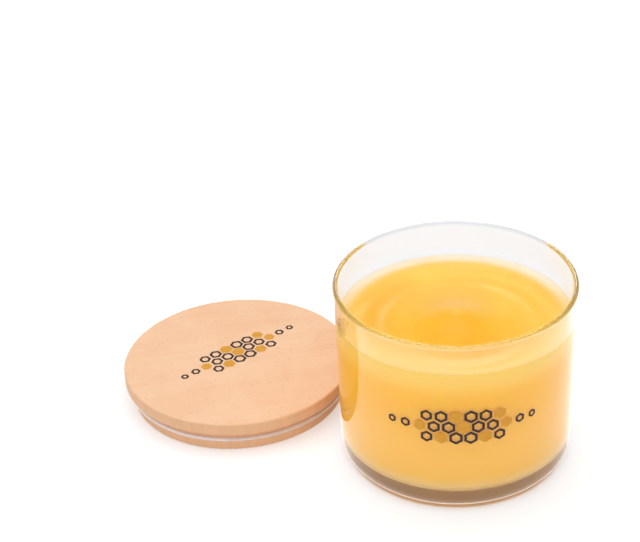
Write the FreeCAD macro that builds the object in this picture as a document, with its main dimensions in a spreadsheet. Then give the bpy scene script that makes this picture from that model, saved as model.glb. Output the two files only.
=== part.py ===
"""Low straight-sided glass jar filled with creamed honey, and its round wooden stopper lid.

The lid is off and lies beside the jar, plug down. Four separate pieces: the jar, the honey
in it, the lid and the soft sealing ring in the groove of the lid's plug. Millimetres, +Z up,
the origin under the middle of the whole, on the surface that both the jar and the lid stand on.
"""
import FreeCAD, Part

import math
import os

import Sketcher  # noqa: F401  registers the sketch type
from FreeCAD import Vector

# Driving sizes: cell alias, value in millimetres (degrees for the bearings), what it is.
SIZES = [
    ("jar_height", 80.0, "from the surface to the top of the rim"),
    ("rim_radius", 50.0, "outside of the jar at the rim"),
    ("foot_taper", 1.6, "how much narrower than the rim the jar's wall is at the surface"),
    ("wall", 2.0, "thickness of the glass wall, measured level"),
    ("base_thickness", 8.8, "glass under the honey"),
    ("foot_round", 7.2, "rounding of the jar's foot"),
    ("floor_round", 3.4, "rounding between the jar's floor and wall"),
    ("rim_land", 0.05, "flat left on each side of the rim's middle by its two roundings"),
    ("push_up_radius", 35.0, "hollow under the base, inside the ring that it stands on"),
    ("push_up_depth", 1.2, "how far that hollow rises"),
    ("head_space", 15.6, "from the top of the rim down to the honey's mean level"),
    ("fill_clear", 0.12, "between the honey and the glass"),
    ("mound_rise", 5.5, "soft mound in the honey above its level"),
    ("mound_radius", 17.0, "where the mound has fallen to about a third"),
    ("mound_forward", 8.0, "the mound's middle, in front of the jar's axis"),
    ("slope_rise", 1.0, "how much higher the honey stands at the front wall than at the axis"),
    ("ripple_height", 0.5, "swell of the soft folds round the mound"),
    ("ripple_radius", 33.0, "the strongest fold"),
    ("ripple_pitch", 10.0, "from fold to fold"),
    ("ripple_bearing", 45.0, "direction from the mound's middle to the first fold, from +X"),
    ("lid_overhang", 0.5, "the lid's disc beyond the jar's rim"),
    ("disc_thickness", 5.6, "the lid's disc"),
    ("disc_top_round", 0.8, "eased upper edge of the disc"),
    ("disc_low_round", 0.4, "eased lower edge of the disc"),
    ("plug_clear", 1.0, "between the plug and the inside of the rim"),
    ("plug_depth", 9.9, "the plug under the disc"),
    ("plug_round", 0.7, "eased lower edge of the plug"),
    ("ring_height", 5.2, "underside of the sealing ring above the plug's foot"),
    ("ring_thickness", 1.5, "the sealing ring and its groove"),
    ("ring_squeeze", 0.6, "how much wider the free ring is than the inside of the rim"),
    ("groove_depth", 2.0, "groove in the plug"),
    ("ring_lip_land", 0.1, "flat left on the ring's rounded lip"),
    ("lid_gap", 4.2, "between the rim and the disc, seen from above"),
    ("lid_bearing", 157.1, "direction from the jar's axis to the lid's, from +X"),
]

doc = FreeCAD.newDocument("honey_jar")
sheet = doc.addObject("Spreadsheet::Sheet", "Sizes")
for row, (alias, value, note) in enumerate(SIZES, start=1):
    sheet.set(f"A{row}", alias)
    sheet.set(f"B{row}", str(value))
    sheet.setAlias(f"B{row}", alias)
    sheet.set(f"C{row}", note)
doc.recompute()


def size(alias):
    """A driving size, read from its cell."""
    return float(sheet.get(alias))


FOLDS = 3  # how many times the folds rise and die away round the mound
SURFACE_STEPS = 40  # parts of the net that carries the honey's surface, each way

# Expressions that more than one piece uses.
FOOT_RADIUS = "(Sizes.rim_radius - Sizes.foot_taper)"
MOUTH_RADIUS = "(Sizes.rim_radius - Sizes.wall)"
HONEY_LEVEL = "(Sizes.jar_height - Sizes.head_space)"
LID_RADIUS = "(Sizes.rim_radius + Sizes.lid_overhang)"
PLUG_RADIUS = f"({MOUTH_RADIUS} - Sizes.plug_clear)"
GROOVE_RADIUS = f"({PLUG_RADIUS} - Sizes.groove_depth)"
RING_RADIUS = f"({MOUTH_RADIUS} + Sizes.ring_squeeze)"
RING_TOP = "(Sizes.ring_height + Sizes.ring_thickness)"
LID_HEIGHT = "(Sizes.plug_depth + Sizes.disc_thickness)"

# The lid's axis as seen from the jar's, and the middle of the box round both.
AXIS_DISTANCE = f"(Sizes.rim_radius + {LID_RADIUS} + Sizes.lid_gap)"
LID_ACROSS = f"({AXIS_DISTANCE} * cos(Sizes.lid_bearing))"
LID_BACK = f"({AXIS_DISTANCE} * sin(Sizes.lid_bearing))"


def middle(offset):
    """Middle of the extent of the jar at 0 and the lid at offset, along one axis."""
    low = f"min(-Sizes.rim_radius; {offset} - {LID_RADIUS})"
    high = f"max(Sizes.rim_radius; {offset} + {LID_RADIUS})"
    return f"(({low} + {high}) / 2)"


JAR_PLACE = (f"-{middle(LID_ACROSS)}", f"-{middle(LID_BACK)}")
LID_PLACE = (f"{LID_ACROSS} - {middle(LID_ACROSS)}", f"{LID_BACK} - {middle(LID_BACK)}")


def outer_radius_at(height):
    """Expression of the jar's outside radius at a height: the wall tapers evenly."""
    return f"({FOOT_RADIUS} + Sizes.foot_taper * {height} / Sizes.jar_height)"


def place(item, where):
    """Ties a piece's place on the surface to a pair of expressions."""
    item.setExpression("Placement.Base.x", where[0])
    item.setExpression("Placement.Base.y", where[1])


def value_of(expression):
    """The number that an expression on the sheet gives."""
    return float(sheet.evalExpression(expression.replace("Sizes.", "")))


def new_body(name):
    """An empty body with its own label."""
    body = doc.addObject("PartDesign::Body", name)
    body.Label = name
    return body


def section_sketch(body, name, corners):
    """A closed outline on the body's XZ plane. Each corner is a pair of expressions, radius and height."""
    sketch = body.newObject("Sketcher::SketchObject", name)
    plane = next(f for f in body.Origin.OriginFeatures if f.Role == "XZ_Plane")
    sketch.AttachmentSupport = [(plane, "")]
    sketch.MapMode = "FlatFace"
    points = [Vector(value_of(r), value_of(z), 0) for r, z in corners]
    count = len(points)
    for i in range(count):
        sketch.addGeometry(Part.LineSegment(points[i], points[(i + 1) % count]), False)
    for i in range(count):
        sketch.addConstraint(Sketcher.Constraint("Coincident", i, 2, (i + 1) % count, 1))
    for i, (radius, height) in enumerate(corners):
        fix_corner(sketch, i, 1, radius, height)
    return sketch


def fix_corner(sketch, curve, end, radius, height):
    """Holds one end of a curve at a radius and a height, each tied to the sheet."""
    for kind, expression, axis in (("DistanceX", radius, -2), ("DistanceY", height, -1)):
        number = value_of(expression)
        if expression == "0":
            sketch.addConstraint(Sketcher.Constraint("PointOnObject", curve, end, axis))
        else:
            index = sketch.addConstraint(Sketcher.Constraint(kind, -1, 1, curve, end, number))
            sketch.setExpression(f"Constraints[{index}]", expression)


def turned(body, kind, name, sketch):
    """A full turn of a section round the body's axis: Revolution adds, Groove takes away."""
    feature = body.newObject(f"PartDesign::{kind}", name)
    feature.Profile = sketch
    feature.ReferenceAxis = (sketch, ["V_Axis"])
    feature.Angle = 360.0
    sketch.Visibility = False
    doc.recompute()
    return feature


def ring_edges(shape, *circles):
    """Names of the round edges at the given radii and heights."""
    names = []
    for radius, height in circles:
        for number, edge in enumerate(shape.Edges, start=1):
            curve = edge.Curve
            if not isinstance(curve, Part.Circle):
                continue
            if abs(curve.Radius - radius) < 1e-4 and abs(curve.Center.z - height) < 1e-4:
                names.append(f"Edge{number}")
    return names


def rounded(body, name, base, radius, *circles):
    """A fillet of the round edges of a feature, each given by its radius and height expressions."""
    wanted = [(value_of(r), value_of(z)) for r, z in circles]
    fillet = body.newObject("PartDesign::Fillet", name)
    fillet.Base = (base, ring_edges(base.Shape, *wanted))
    fillet.setExpression("Radius", radius)
    doc.recompute()
    return fillet


def make_jar():
    """Thick-based tapered tumbler: turned outside, inside and push-up, then its roundings."""
    body = new_body("glass_jar")
    outside = section_sketch(body, "jar_outside", [
        ("0", "0"),
        (FOOT_RADIUS, "0"),
        ("Sizes.rim_radius", "Sizes.jar_height"),
        ("0", "Sizes.jar_height"),
    ])
    turned(body, "Revolution", "jar_blank", outside)

    floor_radius = f"({outer_radius_at('Sizes.base_thickness')} - Sizes.wall)"
    inside = section_sketch(body, "jar_inside", [
        ("0", "Sizes.base_thickness"),
        (floor_radius, "Sizes.base_thickness"),
        (MOUTH_RADIUS, "Sizes.jar_height"),
        ("0", "Sizes.jar_height"),
    ])
    cavity = turned(body, "Groove", "jar_cavity", inside)

    rim = rounded(body, "fire_polished_rim", cavity, "Sizes.wall / 2 - Sizes.rim_land",
                  ("Sizes.rim_radius", "Sizes.jar_height"), (MOUTH_RADIUS, "Sizes.jar_height"))
    floor = rounded(body, "floor_corner", rim, "Sizes.floor_round",
                    (floor_radius, "Sizes.base_thickness"))
    foot = rounded(body, "foot_corner", floor, "Sizes.foot_round", (FOOT_RADIUS, "0"))
    push_up(body, foot)
    place(body, JAR_PLACE)
    return body


def push_up(body, base):
    """The shallow domed hollow under the base, so that the jar stands on a ring."""
    sketch = body.newObject("Sketcher::SketchObject", "push_up_section")
    plane = next(f for f in body.Origin.OriginFeatures if f.Role == "XZ_Plane")
    sketch.AttachmentSupport = [(plane, "")]
    sketch.MapMode = "FlatFace"
    reach, depth = size("push_up_radius"), size("push_up_depth")
    dome = (reach ** 2 + depth ** 2) / (2 * depth)
    centre = Vector(0, depth - dome, 0)
    start = math.asin((dome - depth) / dome)
    sketch.addGeometry(Part.LineSegment(Vector(0, 0, 0), Vector(reach, 0, 0)), False)
    arc = Part.ArcOfCircle(Part.Circle(centre, Vector(0, 0, 1), dome), start, math.pi / 2)
    sketch.addGeometry(arc, False)
    sketch.addGeometry(Part.LineSegment(Vector(0, depth, 0), Vector(0, 0, 0)), False)
    sketch.addConstraint(Sketcher.Constraint("Coincident", 0, 2, 1, 1))
    sketch.addConstraint(Sketcher.Constraint("Coincident", 1, 2, 2, 1))
    sketch.addConstraint(Sketcher.Constraint("Coincident", 2, 2, 0, 1))
    fix_corner(sketch, 0, 1, "0", "0")
    fix_corner(sketch, 0, 2, "Sizes.push_up_radius", "0")
    fix_corner(sketch, 2, 1, "0", "Sizes.push_up_depth")
    sketch.addConstraint(Sketcher.Constraint("PointOnObject", 1, 3, -2))
    before = base.Shape.Volume
    hollow = turned(body, "Groove", "push_up", sketch)
    if hollow.Shape.Volume >= before:
        raise RuntimeError("the push-up took nothing away")
    return hollow


def honey_height(across, back):
    """Height of the honey's surface over a point, from the jar's axis.

    A smooth slope, a soft mound where honey has run in, and low folds in arcs round it.
    """
    from_mound = back + size("mound_forward")
    reach = math.hypot(across, from_mound)
    slope = -size("slope_rise") * back / size("rim_radius")
    mound = size("mound_rise") / (1 + (reach / size("mound_radius")) ** 2) ** 1.5
    fade = math.exp(-((reach - size("ripple_radius")) / size("ripple_pitch")) ** 2)
    swell = math.cos(2 * math.pi * (reach - size("ripple_radius")) / size("ripple_pitch"))
    turn = math.atan2(from_mound, across) - math.radians(size("ripple_bearing"))
    lean = (1 + math.cos(FOLDS * turn)) / 2
    level = size("jar_height") - size("head_space")
    return level + slope + mound + size("ripple_height") * fade * swell * lean


def make_honey():
    """Honey turned to the jar's inside, cut off above by its own soft surface."""
    blank = new_body("honey_blank")
    floor = "(Sizes.base_thickness + Sizes.fill_clear)"
    top = f"({HONEY_LEVEL} + Sizes.slope_rise + Sizes.mound_rise + Sizes.wall)"
    low_radius = f"({outer_radius_at(floor)} - Sizes.wall - Sizes.fill_clear)"
    top_radius = f"({outer_radius_at(top)} - Sizes.wall - Sizes.fill_clear)"
    section = section_sketch(blank, "honey_section", [
        ("0", floor), (low_radius, floor), (top_radius, top), ("0", top),
    ])
    fill = turned(blank, "Revolution", "honey_fill", section)
    rounded(blank, "honey_foot", fill, "Sizes.floor_round - Sizes.fill_clear", (low_radius, floor))

    reach = size("rim_radius") + size("wall")
    line = [reach * (2 * i / SURFACE_STEPS - 1) for i in range(SURFACE_STEPS + 1)]
    grid = [[Vector(x, y, honey_height(x, y)) for y in line] for x in line]
    surface = Part.BSplineSurface()
    surface.interpolate(grid)
    above = doc.addObject("Part::Feature", "above_honey")
    above.Shape = surface.toShape().extrude(Vector(0, 0, size("jar_height")))

    honey = doc.addObject("Part::Cut", "honey")
    honey.Label = "honey"
    honey.Base = blank
    honey.Tool = above
    place(honey, JAR_PLACE)
    doc.recompute()
    return honey


def make_lid():
    """Wooden disc with a plug under it, turned in one piece, and the plug's groove."""
    body = new_body("lid")
    outline = section_sketch(body, "lid_outline", [
        ("0", "0"),
        (PLUG_RADIUS, "0"),
        (PLUG_RADIUS, "Sizes.plug_depth"),
        (LID_RADIUS, "Sizes.plug_depth"),
        (LID_RADIUS, LID_HEIGHT),
        ("0", LID_HEIGHT),
    ])
    turned(body, "Revolution", "lid_blank", outline)
    groove = section_sketch(body, "groove_section", [
        (GROOVE_RADIUS, "Sizes.ring_height"),
        (PLUG_RADIUS, "Sizes.ring_height"),
        (PLUG_RADIUS, RING_TOP),
        (GROOVE_RADIUS, RING_TOP),
    ])
    grooved = turned(body, "Groove", "ring_groove", groove)
    upper = rounded(body, "disc_upper_edge", grooved, "Sizes.disc_top_round", (LID_RADIUS, LID_HEIGHT))
    lower = rounded(body, "disc_lower_edge", upper, "Sizes.disc_low_round",
                    (LID_RADIUS, "Sizes.plug_depth"))
    rounded(body, "plug_edge", lower, "Sizes.plug_round", (PLUG_RADIUS, "0"))
    place(body, LID_PLACE)
    return body


def make_ring():
    """Soft sealing ring that fills the groove and stands out of it with a rounded lip."""
    body = new_body("seal_ring")
    section = section_sketch(body, "ring_section", [
        (GROOVE_RADIUS, "Sizes.ring_height"),
        (RING_RADIUS, "Sizes.ring_height"),
        (RING_RADIUS, RING_TOP),
        (GROOVE_RADIUS, RING_TOP),
    ])
    blank = turned(body, "Revolution", "ring_blank", section)
    rounded(body, "ring_lip", blank, "Sizes.ring_thickness / 2 - Sizes.ring_lip_land",
            (RING_RADIUS, "Sizes.ring_height"), (RING_RADIUS, RING_TOP))
    place(body, LID_PLACE)
    return body


pieces = [make_jar(), make_honey(), make_lid(), make_ring()]
doc.recompute()

for item in doc.Objects:
    if {"Invalid", "Error"} & set(item.State):
        raise RuntimeError(f"{item.Name} failed: {item.State}")
for piece in pieces:
    shape = piece.Shape
    if shape.isNull() or not shape.isValid() or len(shape.Solids) != 1:
        raise RuntimeError(f"{piece.Label} is not one valid solid")

os.makedirs("parts", exist_ok=True)
for piece in pieces:
    piece.Shape.exportStep(f"parts/{piece.Label}.step")
    box = piece.Shape.BoundBox
    print(f"{piece.Label}: {piece.Shape.Volume / 1000:.2f} cm3, "
          f"x {box.XMin:.2f} to {box.XMax:.2f}, y {box.YMin:.2f} to {box.YMax:.2f}, "
          f"z {box.ZMin:.2f} to {box.ZMax:.2f}")
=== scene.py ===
"""Looks of a low glass jar of creamed honey with its wooden stopper lid beside it.

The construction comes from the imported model. This script replaces the jar and the honey with
finer turned meshes of nearly the same size, the jar's with a small bead under its rim. It dresses
every piece in a procedural finish, prints a plain comb pattern on the jar and the lid, and sets up
the studio. Metres, +Z up, the model's own frame.
"""
import logging
import math
from dataclasses import dataclass, field
from enum import Enum
from typing import Any, Callable, Iterable, Sequence

import bmesh
import bpy
from mathutils import Matrix, Vector


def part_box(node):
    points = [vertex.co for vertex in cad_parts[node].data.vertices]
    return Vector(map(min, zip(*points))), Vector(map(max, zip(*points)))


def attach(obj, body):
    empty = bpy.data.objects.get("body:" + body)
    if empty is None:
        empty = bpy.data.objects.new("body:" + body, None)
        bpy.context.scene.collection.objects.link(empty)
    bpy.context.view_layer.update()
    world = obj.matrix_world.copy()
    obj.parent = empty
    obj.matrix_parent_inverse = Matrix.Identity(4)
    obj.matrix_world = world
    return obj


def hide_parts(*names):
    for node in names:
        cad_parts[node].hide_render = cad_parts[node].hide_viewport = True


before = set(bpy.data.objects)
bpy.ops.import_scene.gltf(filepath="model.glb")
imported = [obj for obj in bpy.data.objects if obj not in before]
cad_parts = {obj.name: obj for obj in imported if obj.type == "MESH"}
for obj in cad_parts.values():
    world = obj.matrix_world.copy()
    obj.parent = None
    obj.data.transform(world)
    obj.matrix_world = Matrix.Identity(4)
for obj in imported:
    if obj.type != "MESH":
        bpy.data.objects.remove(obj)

LOG = logging.getLogger("honey_jar")
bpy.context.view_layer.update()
MM = 0.001
BODY = "root"

Colour = tuple[float, float, float]
Point = tuple[float, float, float]
Ring = tuple[float, float]
Wrap = Callable[[float, float, float], Point]
Span = tuple[float, float]


# --------------------------------------------------------------------------------------
# Shader nodes
# --------------------------------------------------------------------------------------

class Graph:
    """The node tree of one material or world, filled through one method."""

    def __init__(self, tree: bpy.types.NodeTree) -> None:
        """Starts with an empty tree.

        Args:
            tree: the node tree to fill.
        """
        self.tree = tree
        tree.nodes.clear()

    def add(self, kind: str, settings: dict[str, Any] | None = None,
            sockets: dict[Any, Any] | None = None) -> bpy.types.Node:
        """Makes a node.

        Args:
            kind: the node's type.
            settings: its properties, set first.
            sockets: a value or a link for each input, by name or number.

        Returns:
            The node.
        """
        node = self.tree.nodes.new(kind)
        for name, value in (settings or {}).items():
            setattr(node, name, value)
        for key, value in (sockets or {}).items():
            if isinstance(value, Value):
                self.tree.links.new(value.socket, node.inputs[key])
            elif isinstance(value, bpy.types.NodeSocket):
                self.tree.links.new(value, node.inputs[key])
            else:
                node.inputs[key].default_value = value
        return node

    def value(self, kind: str, settings: dict[str, Any] | None = None,
              sockets: dict[Any, Any] | None = None, output: Any = 0) -> "Value":
        """Makes a node and wraps one of its outputs as a number that varies."""
        return Value(self, self.add(kind, settings, sockets).outputs[output])

    def blend(self, mask: "Value", low: Any, high: Any) -> bpy.types.NodeSocket:
        """Mixes two colours.

        Args:
            mask: 0 gives the first colour, 1 the second.
            low: the first colour, or its socket.
            high: the second colour, or its socket.

        Returns:
            The socket of the mixed colour.
        """
        first = low if isinstance(low, bpy.types.NodeSocket) else (*low, 1.0)
        second = high if isinstance(high, bpy.types.NodeSocket) else (*high, 1.0)
        node = self.add("ShaderNodeMix", {"data_type": "RGBA"}, {0: mask, 6: first, 7: second})
        return node.outputs[2]

    def noise(self, where: bpy.types.NodeSocket, scale: float, detail: float = 2.0,
              roughness: float = 0.5) -> "Value":
        """Soft noise, 0 to 1, over a place."""
        return self.value("ShaderNodeTexNoise", None,
                          {"Vector": where, "Scale": scale, "Detail": detail, "Roughness": roughness},
                          "Fac")

    def bump(self, height: "Value", strength: float, distance: float) -> bpy.types.NodeSocket:
        """Normal of a surface with a relief.

        Args:
            height: the relief, 0 to 1.
            strength: how much of it shows.
            distance: metres from 0 to 1.

        Returns:
            The normal's socket.
        """
        node = self.add("ShaderNodeBump", None,
                        {"Height": height, "Strength": strength, "Distance": distance})
        return node.outputs["Normal"]

    def place(self, centre: Point = (0.0, 0.0, 0.0), turn: float = 0.0,
              stretch: Point = (1.0, 1.0, 1.0)) -> bpy.types.NodeSocket:
        """A point of the surface in the object's own space, moved, turned and stretched.

        Args:
            centre: what becomes the origin.
            turn: degrees about Z, taken before the stretch.
            stretch: factor along each axis after the turn.

        Returns:
            The vector's socket.
        """
        here = self.add("ShaderNodeTexCoord").outputs["Object"]
        moved = self.add("ShaderNodeVectorMath", {"operation": "SUBTRACT"}, {0: here, 1: centre})
        turned = self.add("ShaderNodeMapping", {"vector_type": "POINT"},
                          {"Vector": moved.outputs[0], "Rotation": (0.0, 0.0, math.radians(-turn))})
        scaled = self.add("ShaderNodeVectorMath", {"operation": "MULTIPLY"},
                          {0: turned.outputs[0], 1: stretch})
        return scaled.outputs[0]

    def axes(self, where: bpy.types.NodeSocket) -> tuple["Value", "Value", "Value"]:
        """The three numbers of a vector."""
        split = self.add("ShaderNodeSeparateXYZ", None, {"Vector": where})
        return tuple(Value(self, output) for output in split.outputs)

    def finish(self, surface: bpy.types.NodeSocket, kind: str = "ShaderNodeOutputMaterial") -> None:
        """Links the finished shader to the tree's output."""
        self.add(kind, None, {"Surface": surface})


@dataclass(frozen=True)
class Value:
    """A number that varies over a surface: a socket with Python's arithmetic."""

    graph: Graph
    socket: bpy.types.NodeSocket

    def _math(self, operation: str, *terms: "Value | float", clamp: bool = False) -> "Value":
        """One Math node on the given terms."""
        node = self.graph.add("ShaderNodeMath", {"operation": operation, "use_clamp": clamp},
                              dict(enumerate(terms)))
        return Value(self.graph, node.outputs[0])

    def __add__(self, other: "Value | float") -> "Value":
        """Sum."""
        return self._math("ADD", self, other)

    def __radd__(self, other: float) -> "Value":
        """Sum with a number on the left."""
        return self._math("ADD", other, self)

    def __sub__(self, other: "Value | float") -> "Value":
        """Difference."""
        return self._math("SUBTRACT", self, other)

    def __rsub__(self, other: float) -> "Value":
        """Difference from a number on the left."""
        return self._math("SUBTRACT", other, self)

    def __mul__(self, other: "Value | float") -> "Value":
        """Product."""
        return self._math("MULTIPLY", self, other)

    def __rmul__(self, other: float) -> "Value":
        """Product with a number on the left."""
        return self._math("MULTIPLY", other, self)

    def __pow__(self, other: float) -> "Value":
        """Power."""
        return self._math("POWER", self, other)

    def clip(self) -> "Value":
        """Held between 0 and 1."""
        return self._math("ADD", self, 0.0, clamp=True)

    def bearing(self, across: "Value") -> "Value":
        """Angle of (across, self) in radians."""
        return self._math("ARCTAN2", self, across)

    def ease(self, low: float, high: float) -> "Value":
        """Rises smoothly from 0 at low to 1 at high."""
        return self.graph.value("ShaderNodeMapRange", {"interpolation_type": "SMOOTHSTEP"},
                                {"Value": self, "From Min": low, "From Max": high})


def new_material(name: str) -> tuple[bpy.types.Material, Graph]:
    """Makes an empty node material.

    Args:
        name: the material's name.

    Returns:
        The material and the graph that fills it.
    """
    material = bpy.data.materials.new(name)
    material.use_nodes = True
    return material, Graph(material.node_tree)


# --------------------------------------------------------------------------------------
# Meshes
# --------------------------------------------------------------------------------------

def mesh_object(name: str, points: Iterable[Point], faces: Iterable[Sequence[int]],
                crease: float | None = 35.0) -> bpy.types.Object:
    """Makes a mesh object in the scene.

    Args:
        name: the piece's name.
        points: its vertices, metres.
        faces: its faces, counter-clockwise seen from outside.
        crease: edges sharper than this, in degrees, stay sharp; None leaves all flat.

    Returns:
        The object, with its origin at the frame's.
    """
    mesh = bpy.data.meshes.new(name)
    mesh.from_pydata(list(points), [], [list(face) for face in faces])
    mesh.validate()
    if crease is not None:
        mesh.shade_smooth()
        mesh.set_sharp_from_angle(angle=math.radians(crease))
    piece = bpy.data.objects.new(name, mesh)
    bpy.context.scene.collection.objects.link(piece)
    return piece


def welded(piece: bpy.types.Object, reach: float = 1e-7) -> bpy.types.Object:
    """Joins the points of a mesh that lie on each other and turns its faces outwards.

    Args:
        piece: the mesh object, changed in place.
        reach: how near two points have to be, in metres.

    Returns:
        The same object.
    """
    shape = bmesh.new()
    shape.from_mesh(piece.data)
    bmesh.ops.remove_doubles(shape, verts=shape.verts, dist=reach)
    bmesh.ops.recalc_face_normals(shape, faces=shape.faces)
    shape.to_mesh(piece.data)
    shape.free()
    return piece


def arc(centre: Ring, radius: float, start: float, end: float, steps: int) -> list[Ring]:
    """Points of a section's round stretch.

    Args:
        centre: radius and height of the arc's centre.
        radius: the arc's own radius.
        start: first angle in degrees, 0 outwards and 90 up.
        end: last angle.
        steps: number of parts.

    Returns:
        The points, both ends included.
    """
    angles = [math.radians(start + (end - start) * i / steps) for i in range(steps + 1)]
    return [(centre[0] + radius * math.cos(a), centre[1] + radius * math.sin(a)) for a in angles]


def run(start: Ring, end: Ring, steps: int) -> list[Ring]:
    """Points of a straight stretch of a section, both ends left out."""
    return [(start[0] + (end[0] - start[0]) * i / steps, start[1] + (end[1] - start[1]) * i / steps)
            for i in range(1, steps)]


def turned(name: str, section: Sequence[Ring], axis: Point, segments: int,
           height: Callable[[float, float, int], float] | None = None) -> bpy.types.Object:
    """Turns a section round an upright axis. It begins and ends on the axis.

    Args:
        name: the piece's name.
        section: radius and height of each ring, from the bottom round the outside to the top.
        axis: a point of the axis.
        segments: parts of the full turn.
        height: gives a ring point's height from its place beside the axis and its ring's number.

    Returns:
        The closed mesh.
    """
    points: list[Point] = []
    rings: list[list[int]] = []
    for number, (radius, level) in enumerate(section):
        first = len(points)
        count = 1 if radius < 1e-9 else segments
        for i in range(count):
            angle = 2 * math.pi * i / segments
            across, back = radius * math.cos(angle), radius * math.sin(angle)
            z = height(across, back, number) if height else level
            points.append((axis[0] + across, axis[1] + back, axis[2] + z))
        rings.append([first + i % count for i in range(segments)])
    faces: list[tuple[int, ...]] = []
    for low, high in zip(rings, rings[1:]):
        for i in range(segments):
            j = (i + 1) % segments
            corners = (low[i], low[j], high[j], high[i])
            faces.append(tuple(dict.fromkeys(corners)))
    return mesh_object(name, points, faces)


# --------------------------------------------------------------------------------------
# Finishes
# --------------------------------------------------------------------------------------

@dataclass(frozen=True)
class ClearGlass:
    """Clear soda-lime glass. A smoky tint paints shade into the thick base and paints the dark lines of
    refraction along the rim's sides and back.
    """

    centre: Point
    base: float
    foot_radius: float
    rim_radius: float
    rim_height: float
    ior: float = 1.5
    clear: Colour = (0.985, 0.982, 0.99)
    # smoky tint: painted shade in the base and painted dark refraction lines on the rim
    painted_shade_tint: Colour = (0.43, 0.45, 0.49)
    crest: float = 1.5 * MM
    back_share: float = 0.55

    def _painted_base_shade(self, reach: Value, z: Value) -> Value:
        """The thick base's share of the smoky tint, which is painted shade, on its outside.

        Args:
            reach: distance from the axis.
            z: height.

        Returns:
            The share, 0 to 1.
        """
        above = z.ease(self.base * 0.25, self.base * 0.45)
        below = 1 - z.ease(self.base * 1.05, self.base * 1.25)
        return above * below * reach.ease(self.foot_radius, self.foot_radius + 1.5 * MM)

    def _painted_rim_lines(self, reach: Value, x: Value, y: Value, z: Value) -> Value:
        """The rim's share of the smoky tint, painted dark lines of refraction: full at both sides, part
        at the back, none in front.

        Args:
            reach: distance from the axis.
            x: to the right of the axis.
            y: behind the axis.
            z: height.

        Returns:
            The share, 0 to 1 or a little over.
        """
        rim, top = self.rim_radius, self.rim_height - self.crest
        outer_half = reach.ease(rim - self.crest, rim - self.crest + 0.5 * MM)
        sides = (x * x).ease((rim * 0.55) ** 2, (rim * 0.97) ** 2)
        behind = y.ease(rim * 0.1, rim * 0.6) * self.back_share
        return z.ease(top - 0.4 * MM, top) * outer_half * (sides + behind)

    def build(self) -> bpy.types.Material:
        """Makes the material.

        Returns:
            The material.
        """
        material, graph = new_material("clear_glass")
        here = graph.place(self.centre)
        x, y, z = graph.axes(here)
        reach = (x * x + y * y) ** 0.5
        uneven = 0.85 + graph.noise(here, 25.0, 1.0) * 0.3
        # painted shade: the smoky tint darkens the base and draws the rim's dark refraction lines
        dark = (self._painted_base_shade(reach, z) + self._painted_rim_lines(reach, x, y, z)) * uneven
        tint = graph.blend(dark.clip(), self.clear, self.painted_shade_tint)
        shader = graph.add("ShaderNodeBsdfPrincipled", None, {
            "Base Color": tint, "Roughness": 0.0, "IOR": self.ior, "Transmission Weight": 1.0})
        graph.finish(shader.outputs[0])
        return material


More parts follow.
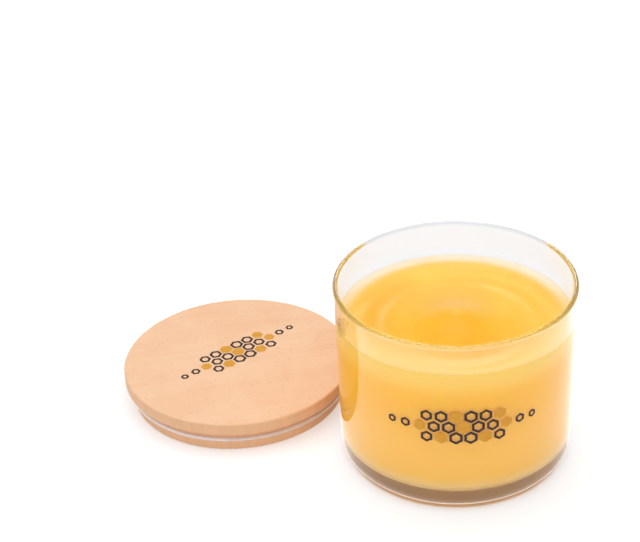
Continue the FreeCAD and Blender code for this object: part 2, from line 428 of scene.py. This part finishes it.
@dataclass(frozen=True)
class CreamedHoney:
    """Opaque creamed honey, on its open top or against the glass.

    The open top is softly glossy and pale along the glass, with a painted near-white glare along the
    glass behind. Against the glass there is no gloss, as no air is there.
    """

    name: str
    centre: Point
    floor: float
    level: float
    wall_radius: float
    gloss: float
    deep: Colour = (0.97, 0.45, 0.018)
    light: Colour = (0.99, 0.60, 0.050)
    thin: Colour = (0.99, 0.575, 0.068)
    # painted glare: near-white along the glass behind the honey's top
    painted_glare: Colour = (1.0, 0.86, 0.68)
    band: Colour = (0.98, 0.645, 0.018)
    body: Colour = (0.975, 0.675, 0.105)
    # pale foot: painted light that comes up through the glass base
    foot: Colour = (0.99, 0.80, 0.37)
    edge: Colour = (0.99, 0.745, 0.15)
    foot_span: Span = (0.0, 0.14)
    band_span: Span = (0.35, 0.76)
    edge_span: Span = (0.80, 0.97)
    thin_span: Span = (0.68, 0.93)
    painted_glare_span: Span = (0.84, 1.0)
    behind_span: Span = (-0.2, 0.65)
    smooth: float = 0.18
    relief: float = 0.4 * MM
    scatter_depth: float = 3.0 * MM

    def _side(self, graph: Graph, z: Value) -> bpy.types.NodeSocket:
        """Colour by height against the glass: a pale foot of painted light from below, the body, a deep
        band and a pale edge.

        Args:
            graph: the material's graph.
            z: height.

        Returns:
            The colour's socket.
        """
        share = (z - self.floor) * (1.0 / (self.level - self.floor))
        # painted light: the foot is paler, as if lit from below through the base
        low = graph.blend(share.ease(*self.foot_span), self.foot, self.body)
        middle = graph.blend(share.ease(*self.band_span), low, self.band)
        return graph.blend(share.ease(*self.edge_span), middle, self.edge)

    def _across(self, distance: Value, span: Span) -> Value:
        """Rises over a span of the honey's radius, given in shares of it."""
        return distance.ease(self.wall_radius * span[0], self.wall_radius * span[1])

    def _top(self, graph: Graph, here: bpy.types.NodeSocket, x: Value, y: Value) -> bpy.types.NodeSocket:
        """Colour of the open top: deep in front and on the left, lighter behind, pale at the glass, with
        a painted near-white glare along the glass behind.

        Args:
            graph: the material's graph.
            here: the place on the surface.
            x: to the right of the axis.
            y: behind the axis.

        Returns:
            The colour's socket.
        """
        lean = (x * 0.8 + y) * (1.0 / self.wall_radius)
        cloud = graph.noise(here, 32.0, 2.0, 0.5)
        middle = graph.blend((lean.ease(-0.5, 0.9) * 0.6 + cloud.ease(0.4, 0.7) * 0.4).clip(),
                             self.deep, self.light)
        reach = (x * x + y * y) ** 0.5
        outer = graph.blend(self._across(reach, self.thin_span), middle, self.thin)
        # painted glare: near-white near the glass, behind the axis
        painted_glare_mask = self._across(reach, self.painted_glare_span) * self._across(y, self.behind_span)
        return graph.blend(painted_glare_mask, outer, self.painted_glare)

    def build(self) -> bpy.types.Material:
        """Makes the material.

        Returns:
            The material.
        """
        material, graph = new_material(self.name)
        here = graph.place(self.centre)
        x, y, z = graph.axes(here)
        colour = self._top(graph, here, x, y) if self.gloss else self._side(graph, z)
        streak = graph.noise(graph.place(self.centre, 25.0, (1.0, 2.6, 2.0)), 55.0, 2.0)
        mottled = graph.blend(streak.ease(0.5, 0.85) * 0.22, colour, self.light)
        grain = graph.noise(here, 1100.0, 2.0)
        swell = graph.noise(here, 60.0, 2.0)
        shader = graph.add("ShaderNodeBsdfPrincipled", None, {
            "Base Color": mottled, "Roughness": self.smooth + grain * 0.14, "IOR": 1.49,
            "Specular IOR Level": self.gloss, "Subsurface Weight": 0.2,
            "Subsurface Radius": (1.0, 0.45, 0.12), "Subsurface Scale": self.scatter_depth,
            "Normal": graph.bump(swell * 0.7 + grain * 0.3, 0.4, self.relief)})
        graph.finish(shader.outputs[0])
        return material


@dataclass(frozen=True)
class Beech:
    """Sanded pale beech: fine flecks along the grain on the face, bands round the side and plug."""

    centre: Point
    face_height: float
    side_radius: float = 50.0 * MM
    under_height: float = 10.5 * MM
    grain_turn: float = 12.0
    light: Colour = (0.955, 0.62, 0.39)
    warm: Colour = (0.90, 0.52, 0.30)
    fleck: Colour = (0.66, 0.31, 0.15)
    side: Colour = (0.84, 0.49, 0.27)

    def build(self) -> bpy.types.Material:
        """Makes the material.

        Returns:
            The material.
        """
        material, graph = new_material("sanded_beech")
        here = graph.place(self.centre, self.grain_turn)
        along = graph.place(self.centre, self.grain_turn, (0.12, 1.0, 1.0))
        x, y, z = graph.axes(here)
        mottle = graph.noise(here, 45.0, 3.0, 0.55)
        rings = graph.noise(along, 160.0, 3.0, 0.6)
        fibres = graph.noise(along, 900.0, 2.0, 0.6)
        flecks = graph.noise(graph.place(self.centre, self.grain_turn, (0.30, 1.0, 1.0)), 1300.0, 1.0)
        base = graph.blend((mottle.ease(0.35, 0.7) * 0.45 + rings.ease(0.4, 0.7) * 0.35).clip(),
                           self.light, self.warm)
        lined = graph.blend(fibres.ease(0.52, 0.75) * 0.25, base, self.warm)
        flecked = graph.blend(flecks.ease(0.66, 0.76) * 0.5, lined, self.fleck)
        turn = y.bearing(x)
        bands = graph.noise(graph.add("ShaderNodeCombineXYZ", None,
                                      {"X": turn * 9.0, "Y": z * 40.0}).outputs[0], 1.6, 1.0)
        edge = graph.blend(bands.ease(0.42, 0.62) * 0.6, self.side, self.warm)
        reach = (x * x + y * y) ** 0.5
        on_side = (reach.ease(self.side_radius - 0.8 * MM, self.side_radius)
                   * (1.0 - z.ease(self.face_height - 0.8 * MM, self.face_height)))
        below = 1.0 - z.ease(self.under_height - 1.0 * MM, self.under_height)
        colour = graph.blend((on_side + below).clip(), flecked, edge)
        relief = fibres * 0.6 + flecks * 0.4
        shader = graph.add("ShaderNodeBsdfPrincipled", None, {
            "Base Color": colour, "Roughness": 0.58 + mottle * 0.12,
            "Normal": graph.bump(relief, 0.25, 0.15 * MM)})
        graph.finish(shader.outputs[0])
        return material


@dataclass(frozen=True)
class MilkySilicone:
    """Soft milky seal with a faint moulded unevenness."""

    centre: Point
    light: Colour = (0.86, 0.80, 0.78)
    dark: Colour = (0.76, 0.68, 0.65)

    def build(self) -> bpy.types.Material:
        """Makes the material.

        Returns:
            The material.
        """
        material, graph = new_material("milky_silicone")
        uneven = graph.noise(graph.place(self.centre), 120.0, 2.0)
        shader = graph.add("ShaderNodeBsdfPrincipled", None, {
            "Base Color": graph.blend(uneven, self.light, self.dark),
            "Roughness": 0.30 + uneven * 0.12, "Subsurface Weight": 0.5,
            "Subsurface Radius": (1.0, 0.9, 0.8), "Subsurface Scale": 2.0 * MM,
            "Normal": graph.bump(uneven, 0.2, 0.1 * MM)})
        graph.finish(shader.outputs[0])
        return material


@dataclass(frozen=True)
class Ink:
    """Thin print with a slightly uneven cover."""

    name: str
    full: Colour
    thin: Colour
    roughness: float = 0.45

    def build(self) -> bpy.types.Material:
        """Makes the material.

        Returns:
            The material.
        """
        material, graph = new_material(self.name)
        cover = graph.noise(graph.place(), 700.0, 3.0, 0.6)
        shader = graph.add("ShaderNodeBsdfPrincipled", None, {
            "Base Color": graph.blend(cover.ease(0.4, 0.8), self.full, self.thin),
            "Roughness": self.roughness + cover * 0.15, "Specular IOR Level": 0.2,
            "Normal": graph.bump(cover, 0.2, 0.03 * MM)})
        graph.finish(shader.outputs[0])
        return material


# --------------------------------------------------------------------------------------
# Sub-assemblies
# --------------------------------------------------------------------------------------

@dataclass
class Jar:
    """The glass: a thick base with a shallow push-up, a tapered wall and a fire-polished rim."""

    name: str = "jar_glass"
    node: str = "glass_jar"
    taper: float = 1.2 * MM
    wall: float = 1.8 * MM
    base: float = 8.8 * MM
    foot_round: float = 7.2 * MM
    floor_round: float = 3.4 * MM
    push_up_radius: float = 35.0 * MM
    push_up_depth: float = 1.2 * MM
    bead: float = 0.4 * MM
    bead_round: float = 0.3 * MM
    bead_tilt: float = 45.0
    rim_share: float = 0.98
    base_corner: float = 6.0 * MM
    segments: int = 400
    low: Vector = field(init=False)
    high: Vector = field(init=False)

    def __post_init__(self) -> None:
        """Reads the jar's box from the frame."""
        self.low, self.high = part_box(self.node)

    @property
    def axis(self) -> Point:
        """Point of the jar's axis on the surface it stands on."""
        return ((self.low.x + self.high.x) / 2, (self.low.y + self.high.y) / 2, 0.0)

    @property
    def rim_radius(self) -> float:
        """Outside radius at the rim."""
        return (self.high.x - self.low.x) / 2

    @property
    def height(self) -> float:
        """From the surface to the top of the rim."""
        return self.high.z

    def outer(self, z: float) -> float:
        """Outside radius of the wall at a height, below the rim's bead."""
        return self.rim_radius - self.bead - self.taper * (1 - z / self.height)

    def under_bead(self, edge: Ring) -> list[Ring]:
        """Underside of the fire-polished bead, from the wall up to the bead's widest point.

        Args:
            edge: the widest point.

        Returns:
            A hollow, a short cone and the round below the edge, the edge left out.
        """
        small, tilt = self.bead_round, math.radians(self.bead_tilt)
        cone = (self.bead - 2 * small * (1 - math.cos(tilt))) / math.sin(tilt)
        start = (edge[0] - self.bead, edge[1] - 2 * small * math.sin(tilt) - cone * math.cos(tilt))
        hollow = arc((start[0] + small, start[1]), small, 180, 180 - self.bead_tilt, 10)
        return hollow + arc((edge[0] - small, edge[1]), small, -self.bead_tilt, 0, 10)[:-1]

    def section(self) -> list[Ring]:
        """Outline of the glass from the middle underneath, round the rim, to the middle inside.

        Returns:
            Radius and height of each ring.
        """
        rim = (self.wall + self.bead) / 2 * self.rim_share
        foot = (self.outer(self.foot_round) - self.foot_round, self.foot_round)
        corner = (self.outer(self.base) - self.wall - self.floor_round, self.base + self.floor_round)
        rim_out = (self.rim_radius - rim, self.height - rim)
        rim_in = (self.outer(self.height - rim) - self.wall + rim, self.height - rim)
        under = [(self.push_up_radius * i / 8, self.push_up_depth * (1 - (i / 8) ** 2))
                 for i in range(9)]
        line = under + run(under[-1], (foot[0], 0.0), 3)
        line += arc(foot, self.foot_round, -90, 0, 10)
        bead = self.under_bead((self.rim_radius, self.height - rim))
        line += run(line[-1], bead[0], 24) + bead
        line += arc(rim_out, rim, 0, 90, 24) + arc(rim_in, rim, 90, 180, 24)
        line += run(line[-1], (corner[0] + self.floor_round, corner[1]), 24)
        line += arc(corner, self.floor_round, 0, -90, 10)
        return line + run(line[-1], (0.0, self.base), 10) + [(0.0, self.base)]

    def build(self) -> bpy.types.Object:
        """Builds and dresses the glass.

        Returns:
            The glass, which stands for its node.
        """
        piece = turned(self.name, self.section(), self.axis, self.segments)
        foot_radius = self.rim_radius - self.base_corner
        finish = ClearGlass(self.axis, self.base, foot_radius, self.rim_radius, self.height)
        piece.data.materials.append(finish.build())
        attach(piece, BODY)
        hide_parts(self.node)
        return piece


@dataclass
class Honey:
    """Creamed honey: it reaches just into the glass all round, and its top is softly uneven."""

    jar: Jar
    name: str = "creamed_honey"
    node: str = "honey"
    bite: float = 0.25 * MM
    level: float = 64.4 * MM
    mound_rise: float = 5.5 * MM
    mound_radius: float = 17.0 * MM
    mound_forward: float = 8.0 * MM
    slope_rise: float = 1.0 * MM
    ripple_height: float = 0.13 * MM
    ripple_radius: float = 33.0 * MM
    ripple_pitch: float = 10.0 * MM
    ripple_bearing: float = 45.0
    folds: int = 3
    cling: float = 0.7 * MM
    cling_reach: float = 1.6 * MM
    top_gloss: float = 0.22
    top_rings: int = 90
    segments: int = 224

    def surface(self, across: float, back: float) -> float:
        """Height of the honey's top over a point beside the jar's axis.

        Args:
            across: to the right of the axis.
            back: behind the axis.

        Returns:
            The height above the surface that the jar stands on.
        """
        from_mound = back + self.mound_forward
        reach = math.hypot(across, from_mound)
        slope = -self.slope_rise * back / self.jar.rim_radius
        mound = self.mound_rise / (1 + (reach / self.mound_radius) ** 2) ** 1.5
        fade = math.exp(-((reach - self.ripple_radius) / self.ripple_pitch) ** 2)
        swell = math.cos(2 * math.pi * (reach - self.ripple_radius) / self.ripple_pitch)
        turn = math.atan2(from_mound, across) - math.radians(self.ripple_bearing)
        lean = (1 + math.cos(self.folds * turn)) / 2
        to_wall = self.jar.outer(self.level) - self.jar.wall - math.hypot(across, back)
        cling = self.cling * math.exp(-max(to_wall, 0.0) / self.cling_reach)
        return self.level + slope + mound + self.ripple_height * fade * swell * lean + cling

    def build(self) -> bpy.types.Object:
        """Builds and dresses the honey.

        Returns:
            The honey, which stands for its node.
        """
        jar = self.jar
        inner = jar.wall - self.bite
        round_in = jar.floor_round + self.bite
        corner = (jar.outer(jar.base) - jar.wall - jar.floor_round, jar.base + jar.floor_round)
        side = arc(corner, round_in, -90, 0, 10)
        line = [(0.0, jar.base - self.bite)] + run((0.0, jar.base - self.bite), side[0], 12) + side
        top_radius = jar.outer(self.level) - inner
        line += run(line[-1], (top_radius, self.level), 26)
        first_top = len(line)
        line += [(top_radius * math.sin(math.pi / 2 * (1 - i / self.top_rings)), self.level)
                 for i in range(self.top_rings)] + [(0.0, self.level)]

        def height(across: float, back: float, ring: int) -> float:
            """The soft top for the rings of the top, the section's own height below it."""
            return self.surface(across, back) if ring >= first_top else line[ring][1]

        piece = turned(self.name, line, jar.axis, self.segments, height)
        for label, gloss in (("honey_against_glass", 0.0), ("honey_top", self.top_gloss)):
            finish = CreamedHoney(label, jar.axis, jar.base, self.level, top_radius, gloss)
            piece.data.materials.append(finish.build())
        for face in piece.data.polygons:
            face.material_index = int(face.normal.z > 0.5)
        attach(piece, BODY)
        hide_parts(self.node)
        return piece


class Tone(Enum):
    """The two inks of the print."""

    DARK = "print_dark"
    GOLD = "print_gold"


@dataclass(frozen=True)
class Cell:
    """One comb cell of the print: its middle, its size, the width of its line (0 if full), its ink."""

    across: float
    up: float
    radius: float
    line: float
    tone: Tone

    def corners(self, radius: float) -> list[Ring]:
        """The six corners of an upright hexagon about the cell's middle."""
        turns = [math.radians(60 * k) for k in range(6)]
        return [(self.across - radius * math.sin(a), self.up + radius * math.cos(a)) for a in turns]


@dataclass(frozen=True)
class Comb:
    """A comb band: open dark cells and full gold cells, large in the middle and small at the ends."""

    cell: float = 3.1 * MM
    line: float = 1.05 * MM
    gap: float = 0.5 * MM
    half_length: float = 34.0 * MM
    half_block: float = 17.5 * MM
    shrink: float = 0.5
    thickness: float = 0.04 * MM

    def cells(self) -> list[Cell]:
        """Lays out the band: three rows in the middle, one row to the ends.

        Returns:
            Every cell.
        """
        found: list[Cell] = []
        step = math.sqrt(3) * self.cell + self.gap
        rise = step * math.sqrt(3) / 2
        columns = round(self.half_length / step)
        for row in (-1, 0, 1):
            for column in range(-columns, columns + 1):
                u = (column + abs(row) / 2) * step
                if abs(u) > (self.half_length if row == 0 else self.half_block):
                    continue
                radius = self.cell * (1 - self.shrink * (abs(u) / self.half_length) ** 1.5)
                full = (column + row) % 3 == 0
                tone = Tone.GOLD if full else Tone.DARK
                line = 0.0 if full else self.line * (0.55 + 0.45 * radius / self.cell)
                found.append(Cell(u, row * rise, radius, line, tone))
        return found

    def solid(self, name: str, tone: Tone, wrap: Wrap) -> bpy.types.Object:
        """Makes one ink's cells as thin closed plates and rings.

        Args:
            name: the piece's name.
            tone: which cells.
            wrap: gives a point of the object for across, up and out of the print.

        Returns:
            The piece.
        """
        points: list[Point] = []
        faces: list[tuple[int, ...]] = []
        for cell in self.cells():
            if cell.tone is not tone:
                continue
            first = len(points)
            inner = cell.radius - cell.line * 2 / math.sqrt(3) if cell.line else 0.0
            outline = cell.corners(cell.radius)
            hole = cell.corners(inner) if cell.line else [(cell.across, cell.up)] * 6
            for depth in (0.0, self.thickness):
                points += [wrap(u, v, depth) for u, v in outline + hole]
            for k in range(6):
                n = (k + 1) % 6
                back = (first + k, first + 6 + k, first + 6 + n, first + n)
                front = tuple(i + 12 for i in reversed(back))
                faces += [back, front, (first + k, first + n, first + n + 12, first + k + 12)]
                if cell.line:
                    faces.append((first + 6 + n, first + 6 + k, first + k + 18, first + n + 18))
        return welded(mesh_object(name, points, faces, None))


@dataclass
class Print:
    """The comb band in both inks on one surface."""

    prefix: str
    wrap: Wrap
    comb: Comb
    inks: dict[Tone, Ink]

    def build(self) -> list[bpy.types.Object]:
        """Builds and dresses both inks' plates.

        Returns:
            One piece for each ink.
        """
        pieces = []
        for tone in Tone:
            piece = self.comb.solid(f"{self.prefix}_{tone.value}", tone, self.wrap)
            piece.data.materials.append(self.inks[tone].build())
            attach(piece, BODY)
            pieces.append(piece)
        return pieces


def on_jar(jar: Jar, turn: float, height: float, lift: float) -> Wrap:
    """Wraps a print round the jar.

    Args:
        jar: the jar.
        turn: how far the print's middle stands to the right of the front, in degrees.
        height: of its middle.
        lift: how far its back stands off the glass.

    Returns:
        A function from across, up and out to a point.
    """
    def wrap(u: float, v: float, out: float) -> Point:
        """The point on the jar.

        Args:
            u: across the print.
            v: up the print.
            out: out of the print.

        Returns:
            The point.
        """
        z = height + v
        radius = jar.outer(z) + lift + out
        angle = math.radians(turn - 90.0) + u / jar.outer(height)
        return (jar.axis[0] + radius * math.cos(angle), jar.axis[1] + radius * math.sin(angle), z)
    return wrap


def on_disc(centre: Point, turn: float, lift: float) -> Wrap:
    """Lays a print on a level face.

    Args:
        centre: the print's middle on the face.
        turn: of the print about its middle, in degrees.
        lift: how far its back stands off the face.

    Returns:
        A function from across, up and out to a point.
    """
    along = Vector((math.cos(math.radians(turn)), math.sin(math.radians(turn)), 0.0))
    up = Vector((-along.y, along.x, 0.0))

    def wrap(u: float, v: float, out: float) -> Point:
        """The point on the face."""
        return tuple(Vector(centre) + along * u + up * v + Vector((0.0, 0.0, lift + out)))
    return wrap


@dataclass
class Lid:
    """The wooden stopper and its seal, both as the construction has them."""

    node: str = "lid"
    seal_node: str = "seal_ring"

    @property
    def centre(self) -> Point:
        """The middle of the disc's upper face."""
        low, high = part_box(self.node)
        return ((low.x + high.x) / 2, (low.y + high.y) / 2, high.z)

    def dress(self) -> list[bpy.types.Object]:
        """Gives the wood and the seal their finishes.

        Returns:
            Both pieces.
        """
        x, y, top = self.centre
        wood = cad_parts[self.node]
        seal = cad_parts[self.seal_node]
        for piece, finish, slot in ((wood, Beech((x, y, 0.0), top), "lid_wood"),
                                    (seal, MilkySilicone((x, y, 0.0)), "seal")):
            piece.data.materials.clear()
            piece.data.materials.append(finish.build())
        return [wood, seal]


@dataclass(frozen=True)
class SoftBox:
    """A soft rectangular light: where it hangs, what it faces, its size and how bright its face is."""

    name: str
    place: Point
    target: Point
    width: float
    height: float
    glow: float

    def build(self) -> None:
        """Hangs the lamp."""
        light = bpy.data.lights.new(self.name, "AREA")
        light.shape = "RECTANGLE"
        light.size = self.width
        light.size_y = self.height
        light.energy = self.glow * math.pi * self.width * self.height
        holder = bpy.data.objects.new(self.name, light)
        bpy.context.scene.collection.objects.link(holder)
        holder.location = self.place
        aim = Vector(self.target) - Vector(self.place)
        holder.rotation_euler = aim.to_track_quat("-Z", "Y").to_euler()


@dataclass
class Studio:
    """White sweep, soft lights and the camera.

    Under the jar the sweep is painted amber, as from light that has crossed the honey. A glow makes
    the sweep white to the camera and to mirrored rays, and a little lighter through glass away from
    the jar, which paints shade round it.
    """

    floor_half: float = 3.0
    floor_drop: float = 0.3 * MM
    shade: Point = (0.0, 0.0, 0.0)
    shade_radius: float = 50.0 * MM
    sweep: Colour = (0.785, 0.80, 0.825)
    amber: Colour = (0.80, 0.52, 0.24)
    foot_span: Span = (0.89, 0.935)
    open_span: Span = (1.04, 1.4)
    fringe_share: float = 0.9
    glow_seen: float = 0.38
    glow_through: float = 0.19
    ambient: float = 0.5
    ceiling: float = 0.30
    ceiling_from: float = 0.35
    ceiling_to: float = 0.60
    eye: Point = (0.04096, -0.62324, 0.44311)
    heading: float = -2.75
    dip: float = 30.72
    roll: float = -1.82
    lens: float = 97.66
    shift: float = -0.0703
    boxes: tuple[SoftBox, ...] = (
        SoftBox("overhead_softbox", (0.0, 0.15, 1.10), (0.0, 0.0, 0.0), 1.0, 1.0, 1.75),
        SoftBox("left_softbox", (-1.00, -0.25, 0.55), (0.0, 0.0, 0.05), 1.2, 0.9, 0.28),
        SoftBox("right_softbox", (1.00, -0.45, 0.55), (0.0, 0.0, 0.05), 1.2, 0.9, 0.15),
        SoftBox("back_softbox", (0.06, 0.78, 0.60), (0.05, -0.02, 0.05), 0.16, 0.12, 8.0),
        SoftBox("front_softbox", (0.0, -1.10, 0.55), (0.0, 0.0, 0.05), 1.4, 0.6, 1.25),
    )

    def build(self) -> None:
        """Builds everything that isn't part of the object."""
        self.floor()
        self.world()
        for box in self.boxes:
            box.build()
        self.camera()

    @staticmethod
    def _seen(graph: Graph) -> tuple[Value, Value, Value]:
        """Masks of the rays that arrive.

        Args:
            graph: the material's or the world's graph.

        Returns:
            Rays from the camera, rays mirrored by a surface, and rays that came through glass.
        """
        path = graph.add("ShaderNodeLightPath")
        names = ("Is Camera Ray", "Is Glossy Ray", "Is Transmission Ray")
        seen, sharp, through = (Value(graph, path.outputs[name]) for name in names)
        return seen, sharp * (1 - through), through

    def floor(self) -> None:
        """The white surface, which keeps the object's shadow."""
        half, z = self.floor_half, -self.floor_drop
        piece = mesh_object("studio_floor", [(-half, -half, z), (half, -half, z), (half, half, z),
                                             (-half, half, z)], [(0, 1, 2, 3)], None)
        material, graph = new_material("white_sweep")
        glow = graph.add("ShaderNodeEmission", None, {"Color": (1.0, 1.0, 1.0, 1.0), "Strength": 1.0})
        dark = graph.add("ShaderNodeEmission", None, {"Strength": 0.0})
        seen, mirrored, through = self._seen(graph)
        x, y, _ = graph.axes(graph.place(self.shade))
        reach = (x * x + y * y) ** 0.5
        # painted shade: the glow through glass fades out towards the jar, darkening the floor round it
        open_floor = reach.ease(*(self.shade_radius * part for part in self.open_span))
        # painted caustic: amber under the jar, where the camera's glow is also withheld
        under_jar = 1 - reach.ease(*(self.shade_radius * part for part in self.foot_span))
        fringe = under_jar * self.fringe_share
        diffuse = graph.add("ShaderNodeBsdfDiffuse", None,
                            {"Color": graph.blend(fringe, self.sweep, self.amber)})
        share = (seen * (1 - fringe) * self.glow_seen + mirrored
                 + through * open_floor * self.glow_through).clip()
        lit = graph.add("ShaderNodeMixShader", None, {0: share, 1: dark.outputs[0], 2: glow.outputs[0]})
        both = graph.add("ShaderNodeAddShader", None, {0: diffuse.outputs[0], 1: lit.outputs[0]})
        graph.finish(both.outputs[0])
        piece.data.materials.append(material)

    def world(self) -> None:
        """White all round at eye level, with a dimmer ceiling that gives the glass its dark lines."""
        world = bpy.data.worlds.new("studio")
        world.use_nodes = True
        bpy.context.scene.world = world
        graph = Graph(world.node_tree)
        _, _, up = graph.axes(graph.add("ShaderNodeTexCoord").outputs["Generated"])
        seen, mirrored, through = self._seen(graph)
        white = (1.0, 1.0, 1.0)
        ceiling = graph.blend(up.ease(self.ceiling_from, self.ceiling_to), white, (self.ceiling,) * 3)
        plain = graph.blend((mirrored + through).clip(), (self.ambient,) * 3, ceiling)
        colour = graph.blend(seen, plain, white)
        light = graph.add("ShaderNodeBackground", None, {"Color": colour, "Strength": 1.0})
        graph.finish(light.outputs[0], "ShaderNodeOutputWorld")

    def camera(self) -> None:
        """The camera, from its place, heading, dip and roll."""
        data = bpy.data.cameras.new("camera")
        data.lens = self.lens
        data.shift_x = self.shift
        data.clip_start = 0.01
        holder = bpy.data.objects.new("camera", data)
        bpy.context.scene.collection.objects.link(holder)
        turn = Matrix.Rotation(math.radians(-self.heading), 4, "Z")
        tilt = Matrix.Rotation(math.radians(90.0 - self.dip), 4, "X")
        roll = Matrix.Rotation(math.radians(self.roll), 4, "Z")
        holder.matrix_world = Matrix.Translation(self.eye) @ turn @ tilt @ roll
        bpy.context.scene.camera = holder


def let_light_cross_glass(scene: bpy.types.Scene) -> None:
    """Allows the many bounces that light makes inside a thick clear wall.

    Args:
        scene: the scene to set.
    """
    scene.cycles.max_bounces = 32
    scene.cycles.transmission_bounces = 32
    scene.cycles.glossy_bounces = 24
    scene.cycles.diffuse_bounces = 8
    scene.cycles.blur_glossy = 0.0


PRINT_TURN = 3.0
PRINT_HEIGHT = 42.0 * MM
PRINT_LIFT = 0.05 * MM
LID_PRINT_SHIFT: Ring = (-0.3 * MM, 5.5 * MM)
LID_PRINT_TURN = 42.6
LID_PRINT_LIFT = 0.02 * MM
INKS = {
    Tone.DARK: Ink("dark_ink", (0.032, 0.020, 0.020), (0.06, 0.038, 0.034)),
    Tone.GOLD: Ink("gold_ink", (0.72, 0.33, 0.030), (0.80, 0.42, 0.06), 0.35),
}


def main() -> None:
    """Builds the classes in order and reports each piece."""
    scene = bpy.context.scene
    scene.view_settings.view_transform = "Standard"
    let_light_cross_glass(scene)
    jar = Jar()
    lid = Lid()
    pieces = [jar.build(), Honey(jar).build(), *lid.dress()]
    pieces += Print("jar", on_jar(jar, PRINT_TURN, PRINT_HEIGHT, PRINT_LIFT), Comb(), INKS).build()
    lid_x, lid_y, lid_top = lid.centre
    print_centre = (lid_x + LID_PRINT_SHIFT[0], lid_y + LID_PRINT_SHIFT[1], lid_top)
    pieces += Print("lid", on_disc(print_centre, LID_PRINT_TURN, LID_PRINT_LIFT), Comb(), INKS).build()
    for piece in pieces:
        LOG.info("%s: %d faces, %s", piece.name, len(piece.data.polygons),
                 ", ".join(m.name for m in piece.data.materials))
    Studio(shade=jar.axis, shade_radius=jar.rim_radius).build()


if __name__ == "__main__":
    logging.basicConfig(level=logging.INFO, format="%(name)s: %(message)s")
    main()
